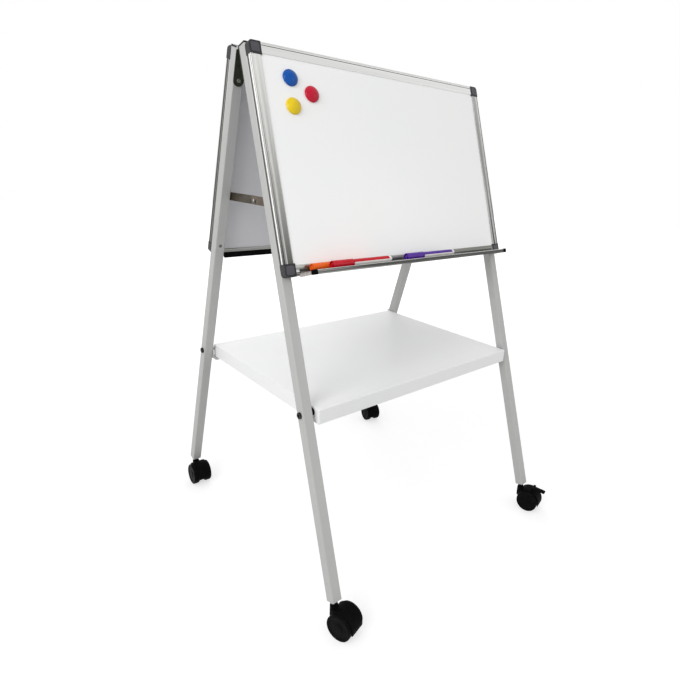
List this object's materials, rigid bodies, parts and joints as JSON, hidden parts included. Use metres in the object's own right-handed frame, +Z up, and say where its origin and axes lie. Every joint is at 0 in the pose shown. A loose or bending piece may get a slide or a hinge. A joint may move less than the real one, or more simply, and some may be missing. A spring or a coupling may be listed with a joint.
{
  "type": "mobile double-sided whiteboard easel",
  "caption": "Folding A-frame easel on casters with a magnetic whiteboard and pen tray on each side and a lift-up shelf between the legs.",
  "frame": {"origin": "on the floor, at the middle of the easel's bounding box", "axes": "+Z up, +X to the right of someone who faces the front board, -Y the way that the front board faces"},
  "size_m": [0.6364, 0.6679, 0.9985],
  "materials": {
    "leg_paint": "satin light grey paint",
    "writing_enamel": "glossy white dry-wipe enamel",
    "panel_back": "dull grey backing sheet over a light core",
    "rail_aluminium": "satin anodised",
    "corner_plastic": "dark grey, fine grain",
    "hinge_steel": "dark bronze-black",
    "bright_steel": "zinc plated",
    "black_plastic": "black nylon",
    "black_bolt": "black oxide",
    "yellow_zinc": "yellow-passivated",
    "shelf_white": "white melamine on particle board",
    "wheel_black": "black nylon tread",
    "marker_orange": "glossy",
    "marker_red": "glossy",
    "marker_purple": "glossy",
    "magnet_blue": "glossy",
    "magnet_red": "glossy",
    "magnet_yellow": "glossy"
  },
  "bodies": {
    "front_frame": {"front_leg_left": "leg_paint", "front_leg_right": "leg_paint", "front_writing_sheet": "writing_enamel", "front_panel_core": "panel_back", "front_rails": "rail_aluminium", "front_corner_caps": "corner_plastic", "front_pen_tray": "rail_aluminium", "front_tray_fittings": "black_plastic", "front_hinge_leaves": "hinge_steel", "hinge_pins": "bright_steel", "front_screws": "bright_steel", "front_caster_sockets": "black_plastic", "shelf_pivot_bolts": "black_bolt", "shelf_spacers": "black_plastic"},
    "rear_frame": {"rear_leg_left": "leg_paint", "rear_leg_right": "leg_paint", "rear_writing_sheet": "writing_enamel", "rear_panel_core": "panel_back", "rear_rails": "rail_aluminium", "rear_corner_caps": "corner_plastic", "rear_pen_tray": "rail_aluminium", "rear_tray_fittings": "black_plastic", "rear_hinge_leaves": "hinge_steel", "rear_screws": "bright_steel", "rear_caster_sockets": "black_plastic", "ledge_brackets": "leg_paint", "ledge_bolts": "black_bolt"},
    "shelf": {"shelf_board": "shelf_white"},
    "stay_link_front_left": {"stay_link_front_left": "yellow_zinc"},
    "stay_link_rear_left": {"stay_link_rear_left": "yellow_zinc"},
    "stay_link_front_right": {"stay_link_front_right": "yellow_zinc"},
    "stay_link_rear_right": {"stay_link_rear_right": "yellow_zinc"},
    "caster_front_left": {"caster_hood_front_left": "black_plastic", "caster_axle_front_left": "bright_steel"},
    "wheel_front_left_outer": {"caster_wheel_front_left_outer": "wheel_black"},
    "wheel_front_left_inner": {"caster_wheel_front_left_inner": "wheel_black"},
    "caster_front_right": {"caster_hood_front_right": "black_plastic", "caster_axle_front_right": "bright_steel"},
    "wheel_front_right_outer": {"caster_wheel_front_right_outer": "wheel_black"},
    "wheel_front_right_inner": {"caster_wheel_front_right_inner": "wheel_black"},
    "brake_pedal_front_right": {"brake_pedal_front_right": "black_plastic"},
    "caster_rear_left": {"caster_hood_rear_left": "black_plastic", "caster_axle_rear_left": "bright_steel"},
    "wheel_rear_left_outer": {"caster_wheel_rear_left_outer": "wheel_black"},
    "wheel_rear_left_inner": {"caster_wheel_rear_left_inner": "wheel_black"},
    "caster_rear_right": {"caster_hood_rear_right": "black_plastic", "caster_axle_rear_right": "bright_steel"},
    "wheel_rear_right_outer": {"caster_wheel_rear_right_outer": "wheel_black"},
    "wheel_rear_right_inner": {"caster_wheel_rear_right_inner": "wheel_black"},
    "brake_pedal_rear_right": {"brake_pedal_rear_right": "black_plastic"},
    "marker_orange": {"marker_barrel_orange": "marker_orange"},
    "marker_cap_orange": {"marker_cap_orange": "marker_orange"},
    "marker_red": {"marker_barrel_red": "marker_red"},
    "marker_cap_red": {"marker_cap_red": "marker_red"},
    "marker_purple": {"marker_barrel_purple": "marker_purple"},
    "marker_cap_purple": {"marker_cap_purple": "marker_purple"},
    "magnet_blue": {"magnet_blue": "magnet_blue"},
    "magnet_red": {"magnet_red": "magnet_red"},
    "magnet_yellow": {"magnet_yellow": "magnet_yellow"}
  },
  "joints": [
    {"name": "frame_fold", "type": "hinge", "parent": "front_frame", "child": "rear_frame", "pos_m": [0, 0.02541, 0.98822], "axis": [1, 0, 0], "range_deg": [-25, 0]},
    {"name": "shelf_lift", "type": "hinge", "parent": "front_frame", "child": "shelf", "pos_m": [0, -0.17509, 0.38027], "axis": [1, 0, 0], "range_deg": [0, 72]},
    {"name": "stay_front_left", "type": "hinge", "parent": "front_frame", "child": "stay_link_front_left", "pos_m": [-0.279, -0.06721, 0.73315], "axis": [1, 0, 0], "range_deg": [0, 71.6]},
    {"name": "stay_rear_left", "type": "hinge", "parent": "rear_frame", "child": "stay_link_rear_left", "pos_m": [-0.277, 0.11803, 0.73315], "axis": [1, 0, 0], "range_deg": [-42.2, 0]},
    {"name": "stay_front_right", "type": "hinge", "parent": "front_frame", "child": "stay_link_front_right", "pos_m": [0.279, -0.06721, 0.73315], "axis": [1, 0, 0], "range_deg": [0, 71.6]},
    {"name": "stay_rear_right", "type": "hinge", "parent": "rear_frame", "child": "stay_link_rear_right", "pos_m": [0.277, 0.11803, 0.73315], "axis": [1, 0, 0], "range_deg": [-42.2, 0]},
    {"name": "swivel_front_left", "type": "hinge", "parent": "front_frame", "child": "caster_front_left", "pos_m": [-0.29, -0.27362, 0.025], "axis": [0, 0, 1], "continuous": true},
    {"name": "roll_front_left_outer", "type": "hinge", "parent": "caster_front_left", "child": "wheel_front_left_outer", "pos_m": [-0.28298, -0.29657, 0.025], "axis": [0.9563, 0.2924, 0], "continuous": true},
    {"name": "roll_front_left_inner", "type": "hinge", "parent": "caster_front_left", "child": "wheel_front_left_inner", "pos_m": [-0.28298, -0.29657, 0.025], "axis": [0.9563, 0.2924, 0], "continuous": true},
    {"name": "swivel_front_right", "type": "hinge", "parent": "front_frame", "child": "caster_front_right", "pos_m": [0.29, -0.27362, 0.025], "axis": [0, 0, 1], "continuous": true},
    {"name": "roll_front_right_outer", "type": "hinge", "parent": "caster_front_right", "child": "wheel_front_right_outer", "pos_m": [0.29621, -0.2968, 0.025], "axis": [0.9659, 0.2588, 0], "continuous": true},
    {"name": "roll_front_right_inner", "type": "hinge", "parent": "caster_front_right", "child": "wheel_front_right_inner", "pos_m": [0.29621, -0.2968, 0.025], "axis": [0.9659, 0.2588, 0], "continuous": true},
    {"name": "brake_front_right", "type": "hinge", "parent": "caster_front_right", "child": "brake_pedal_front_right", "pos_m": [0.29842, -0.30506, 0.05688], "axis": [0.9659, 0.2588, 0], "range_deg": [0, 16]},
    {"name": "swivel_rear_left", "type": "hinge", "parent": "rear_frame", "child": "caster_rear_left", "pos_m": [-0.29, 0.32445, 0.025], "axis": [0, 0, 1], "continuous": true},
    {"name": "roll_rear_left_outer", "type": "hinge", "parent": "caster_rear_left", "child": "wheel_rear_left_outer", "pos_m": [-0.29105, 0.30047, 0.025], "axis": [0.999, -0.0436, 0], "continuous": true},
    {"name": "roll_rear_left_inner", "type": "hinge", "parent": "caster_rear_left", "child": "wheel_rear_left_inner", "pos_m": [-0.29105, 0.30047, 0.025], "axis": [0.999, -0.0436, 0], "continuous": true},
    {"name": "swivel_rear_right", "type": "hinge", "parent": "rear_frame", "child": "caster_rear_right", "pos_m": [0.29, 0.32445, 0.025], "axis": [0, 0, 1], "continuous": true},
    {"name": "roll_rear_right_outer", "type": "hinge", "parent": "caster_rear_right", "child": "wheel_rear_right_outer", "pos_m": [0.28501, 0.30097, 0.025], "axis": [0.9781, -0.2079, 0], "continuous": true},
    {"name": "roll_rear_right_inner", "type": "hinge", "parent": "caster_rear_right", "child": "wheel_rear_right_inner", "pos_m": [0.28501, 0.30097, 0.025], "axis": [0.9781, -0.2079, 0], "continuous": true},
    {"name": "brake_rear_right", "type": "hinge", "parent": "caster_rear_right", "child": "brake_pedal_rear_right", "pos_m": [0.28323, 0.29262, 0.05688], "axis": [0.9781, -0.2079, 0], "range_deg": [0, 16]},
    {"name": "lift_marker_orange", "type": "slide", "parent": "front_frame", "child": "marker_orange", "axis": [0, 0.2924, 0.9563], "range_m": [0, 0.06]},
    {"name": "pull_cap_orange", "type": "slide", "parent": "marker_orange", "child": "marker_cap_orange", "axis": [-1, 0, 0], "range_m": [0, 0.03]},
    {"name": "lift_marker_red", "type": "slide", "parent": "front_frame", "child": "marker_red", "axis": [0, 0.2924, 0.9563], "range_m": [0, 0.06]},
    {"name": "pull_cap_red", "type": "slide", "parent": "marker_red", "child": "marker_cap_red", "axis": [-1, 0, 0], "range_m": [0, 0.03]},
    {"name": "lift_marker_purple", "type": "slide", "parent": "front_frame", "child": "marker_purple", "axis": [0, 0.2924, 0.9563], "range_m": [0, 0.06]},
    {"name": "pull_cap_purple", "type": "slide", "parent": "marker_purple", "child": "marker_cap_purple", "axis": [-1, 0, 0], "range_m": [0, 0.03]},
    {"name": "pull_magnet_blue", "type": "slide", "parent": "front_frame", "child": "magnet_blue", "axis": [0, -0.9563, 0.2924], "range_m": [0, 0.05]},
    {"name": "pull_magnet_red", "type": "slide", "parent": "front_frame", "child": "magnet_red", "axis": [0, -0.9563, 0.2924], "range_m": [0, 0.05]},
    {"name": "pull_magnet_yellow", "type": "slide", "parent": "front_frame", "child": "magnet_yellow", "axis": [0, -0.9563, 0.2924], "range_m": [0, 0.05]}
  ],
  "couplings": [
    {"joint": "stay_front_left", "follows": "frame_fold", "ratio": -2.8255},
    {"joint": "stay_rear_left", "follows": "frame_fold", "ratio": 1.6482},
    {"joint": "stay_front_right", "follows": "frame_fold", "ratio": -2.8255},
    {"joint": "stay_rear_right", "follows": "frame_fold", "ratio": 1.6482}
  ]
}
